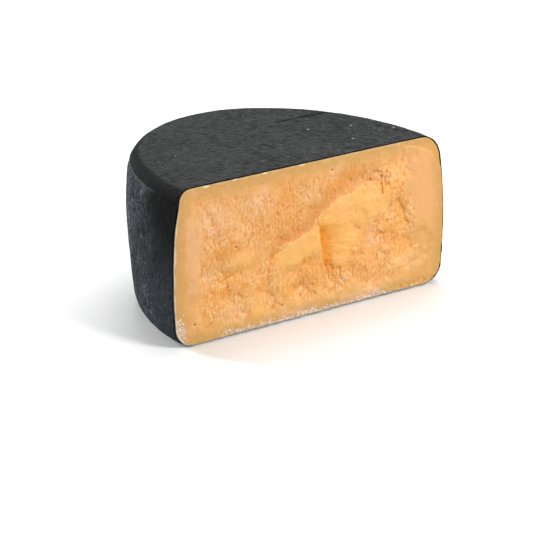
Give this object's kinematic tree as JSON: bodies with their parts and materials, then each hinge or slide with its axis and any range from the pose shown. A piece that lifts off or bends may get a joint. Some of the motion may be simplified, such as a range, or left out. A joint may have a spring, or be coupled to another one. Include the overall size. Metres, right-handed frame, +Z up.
{
  "type": "reggianito cheese half wheel",
  "caption": "Half wheel of hard grating cheese: black-coated rounded rim and flat faces, opened along its middle to a rough, flaky face, for grating, slicing or display",
  "frame": {"origin": "middle of the bottom of the half's bounding box, on the flat bottom face", "axes": "+X along the cut, +Y from the broken face to the round back, +Z up"},
  "size_m": [0.2609, 0.1539, 0.12],
  "materials": {
    "cheese": "dense pale orange paste, dull and slightly waxy, rough and flaky where it broke",
    "rind_coat": "thin black coat over the rind, matt on top, mottled and a little shinier on the side"
  },
  "bodies": {
    "root": {"cheese_half": "cheese"}
  },
  "joints": []
}
